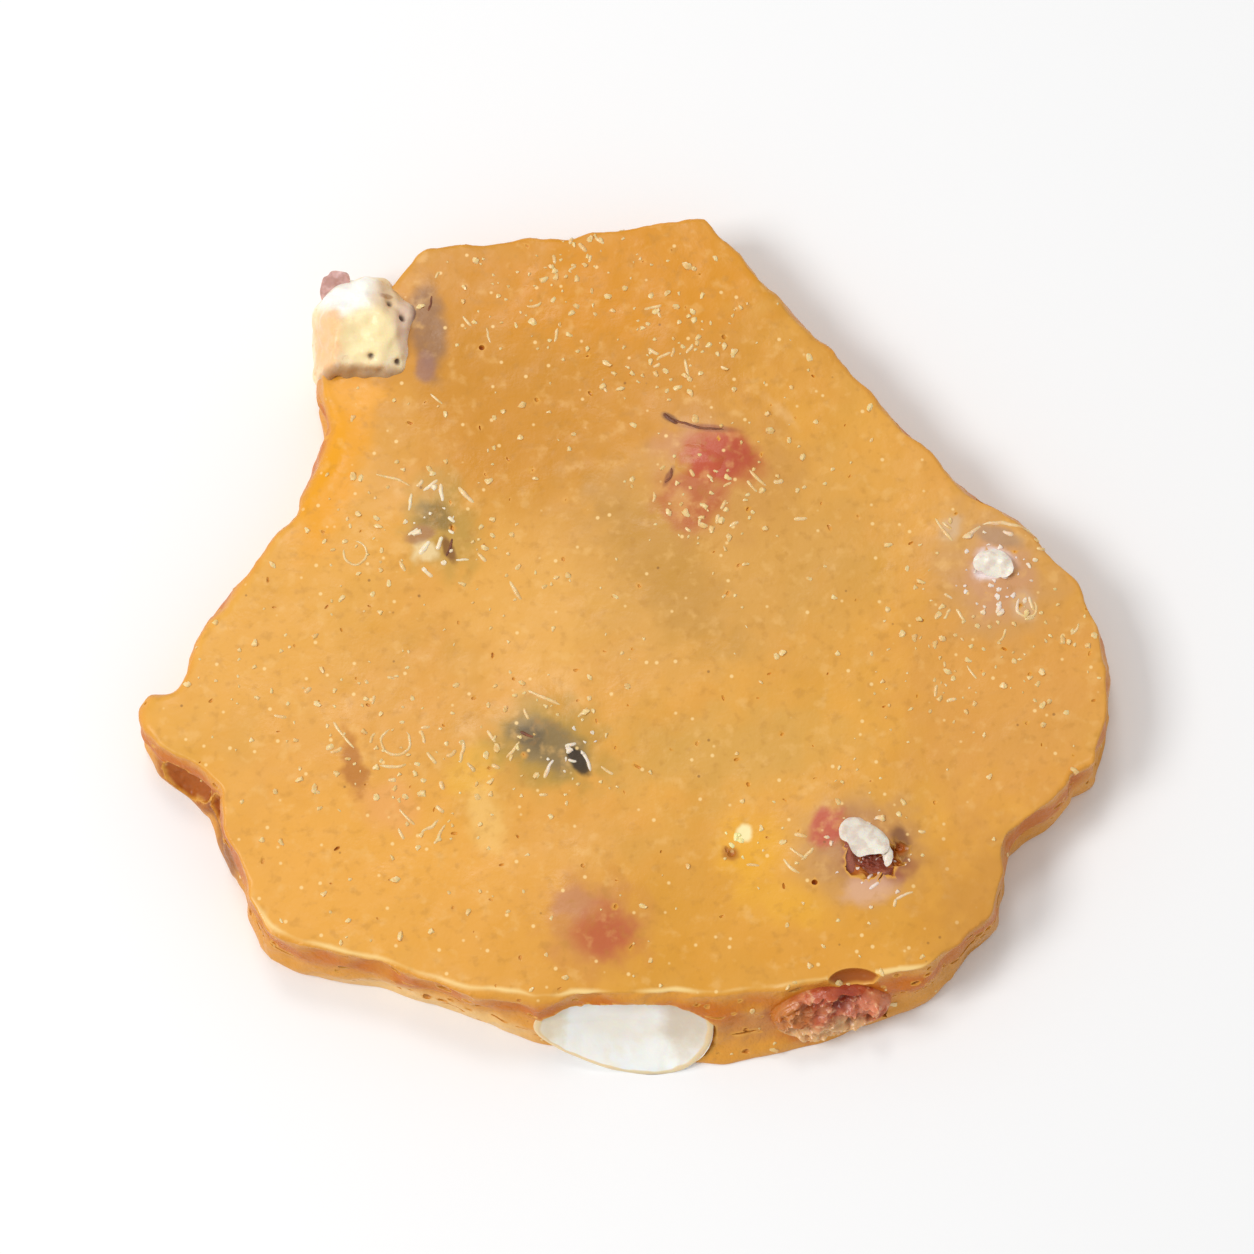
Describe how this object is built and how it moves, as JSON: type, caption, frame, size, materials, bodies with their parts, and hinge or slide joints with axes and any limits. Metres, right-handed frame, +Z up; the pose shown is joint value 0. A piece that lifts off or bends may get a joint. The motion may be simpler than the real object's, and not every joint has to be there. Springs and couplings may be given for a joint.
{
  "type": "nut brittle piece",
  "caption": "Broken piece of golden nut brittle: a flat slab of satin candy with ragged walls and whole, split and torn red-skinned kernels set in it.",
  "frame": {"origin": "middle of the part's box in X and Y, on the flat underside that it lies on", "axes": "+X along the piece's longer side, +Y from the wall with the split kernel towards the corner kernel's side, +Z up out of the poured face"},
  "size_m": [0.074, 0.0662, 0.0084],
  "materials": {
    "candy": "waxy satin golden candy, paler and rougher where it broke",
    "blanched_kernel": "smooth cream to pearly white nut flesh",
    "red_skin_kernel": "thin red-brown skin, torn to pale flesh in places"
  },
  "bodies": {
    "root": {"candy_slab": "candy", "kernel_corner": "blanched_kernel", "kernel_face_red": "red_skin_kernel", "kernel_face_right": "red_skin_kernel", "kernel_face_torn": "red_skin_kernel", "kernel_wall_split": "blanched_kernel", "kernel_wall_red": "red_skin_kernel"}
  },
  "joints": []
}
